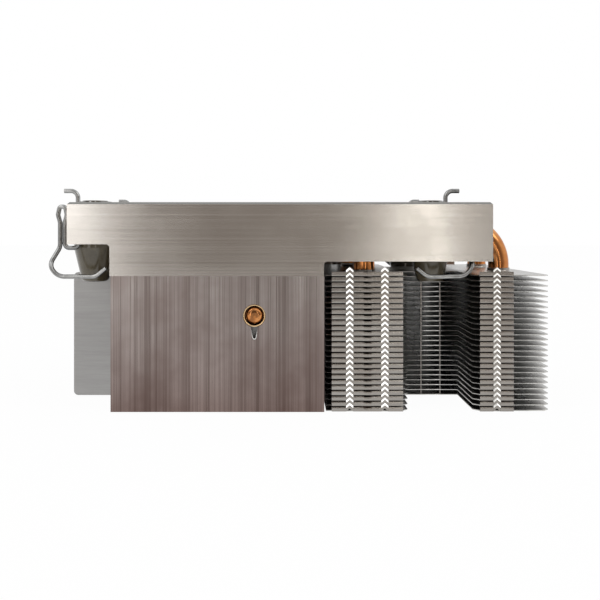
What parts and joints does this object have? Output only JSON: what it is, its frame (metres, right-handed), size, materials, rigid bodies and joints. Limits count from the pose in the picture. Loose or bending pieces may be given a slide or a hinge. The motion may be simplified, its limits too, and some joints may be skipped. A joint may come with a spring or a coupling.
{
  "type": "passive server cpu heatsink",
  "caption": "Passive CPU heatsink: stepped metal base with copper pipes, vertical and horizontal fin stacks, captive cone nuts and swinging spring wires.",
  "frame": {"origin": "centre of the contact face, which is the centre of the four nuts' pattern", "axes": "+Z out of the contact face, away from the fins; +X along the long side, towards the horizontal fins; +Y towards the side where the side heat pipe bends round"},
  "size_m": [0.1353, 0.0911, 0.06],
  "materials": {
    "machined_aluminium": "brushed along the length",
    "fin_aluminium": "rolled sheet, satin",
    "copper": "bare copper, satin",
    "nut_plastic": "moulded, matt",
    "spring_steel": "drawn wire, polished"
  },
  "bodies": {
    "heatsink": {"back_side_plate": "fin_aluminium", "base_block": "machined_aluminium", "contact_plate": "copper", "front_side_plate": "fin_aluminium", "horizontal_fin_01": "fin_aluminium", "horizontal_fin_02": "fin_aluminium", "horizontal_fin_03": "fin_aluminium", "horizontal_fin_04": "fin_aluminium", "horizontal_fin_05": "fin_aluminium", "horizontal_fin_06": "fin_aluminium", "horizontal_fin_07": "fin_aluminium", "horizontal_fin_08": "fin_aluminium", "horizontal_fin_09": "fin_aluminium", "horizontal_fin_10": "fin_aluminium", "horizontal_fin_11": "fin_aluminium", "horizontal_fin_12": "fin_aluminium", "horizontal_fin_13": "fin_aluminium", "horizontal_fin_14": "fin_aluminium", "horizontal_fin_15": "fin_aluminium", "horizontal_fin_16": "fin_aluminium", "horizontal_fin_17": "fin_aluminium", "horizontal_fin_18": "fin_aluminium", "horizontal_fin_19": "fin_aluminium", "horizontal_fin_20": "fin_aluminium", "horizontal_fin_21": "fin_aluminium", "horizontal_fin_22": "fin_aluminium", "horizontal_fin_23": "fin_aluminium", "horizontal_fin_24": "fin_aluminium", "horizontal_fin_25": "fin_aluminium", "horizontal_fin_26": "fin_aluminium", "long_heat_pipe_back": "copper", "long_heat_pipe_front": "copper", "short_heat_pipe_back": "copper", "short_heat_pipe_front": "copper", "side_heat_pipe": "copper", "vertical_fins_back": "fin_aluminium", "vertical_fins_front": "fin_aluminium", "vertical_fins_middle": "fin_aluminium"},
    "nut_front_left_body": {"nut_front_left": "nut_plastic", "retaining_ring_front_left": "spring_steel"},
    "wire_front_left_body": {"wire_front_left": "spring_steel"},
    "nut_front_right_body": {"nut_front_right": "nut_plastic", "retaining_ring_front_right": "spring_steel"},
    "wire_front_right_body": {"wire_front_right": "spring_steel"},
    "nut_back_left_body": {"nut_back_left": "nut_plastic", "retaining_ring_back_left": "spring_steel"},
    "wire_back_left_body": {"wire_back_left": "spring_steel"},
    "nut_back_right_body": {"nut_back_right": "nut_plastic", "retaining_ring_back_right": "spring_steel"},
    "wire_back_right_body": {"wire_back_right": "spring_steel"}
  },
  "joints": [
    {"name": "nut_front_left_turn", "type": "hinge", "parent": "heatsink", "child": "nut_front_left_body", "pos_m": [-0.047, -0.028, 0], "axis": [0, 0, 1], "continuous": true},
    {"name": "wire_front_left_swing", "type": "hinge", "parent": "heatsink", "child": "wire_front_left_body", "pos_m": [-0.0502, -0.0341, 0], "axis": [0, 0, -1], "range_deg": [0, 30]},
    {"name": "nut_front_right_turn", "type": "hinge", "parent": "heatsink", "child": "nut_front_right_body", "pos_m": [0.047, -0.028, 0], "axis": [0, 0, 1], "continuous": true},
    {"name": "wire_front_right_swing", "type": "hinge", "parent": "heatsink", "child": "wire_front_right_body", "pos_m": [0.0502, -0.0341, 0], "axis": [0, 0, 1], "range_deg": [0, 30]},
    {"name": "nut_back_left_turn", "type": "hinge", "parent": "heatsink", "child": "nut_back_left_body", "pos_m": [-0.047, 0.028, 0], "axis": [0, 0, 1], "continuous": true},
    {"name": "wire_back_left_swing", "type": "hinge", "parent": "heatsink", "child": "wire_back_left_body", "pos_m": [-0.0502, 0.0341, 0], "axis": [0, 0, 1], "range_deg": [0, 30]},
    {"name": "nut_back_right_turn", "type": "hinge", "parent": "heatsink", "child": "nut_back_right_body", "pos_m": [0.047, 0.028, 0], "axis": [0, 0, 1], "continuous": true},
    {"name": "wire_back_right_swing", "type": "hinge", "parent": "heatsink", "child": "wire_back_right_body", "pos_m": [0.0502, 0.0341, 0], "axis": [0, 0, -1], "range_deg": [0, 30]}
  ]
}
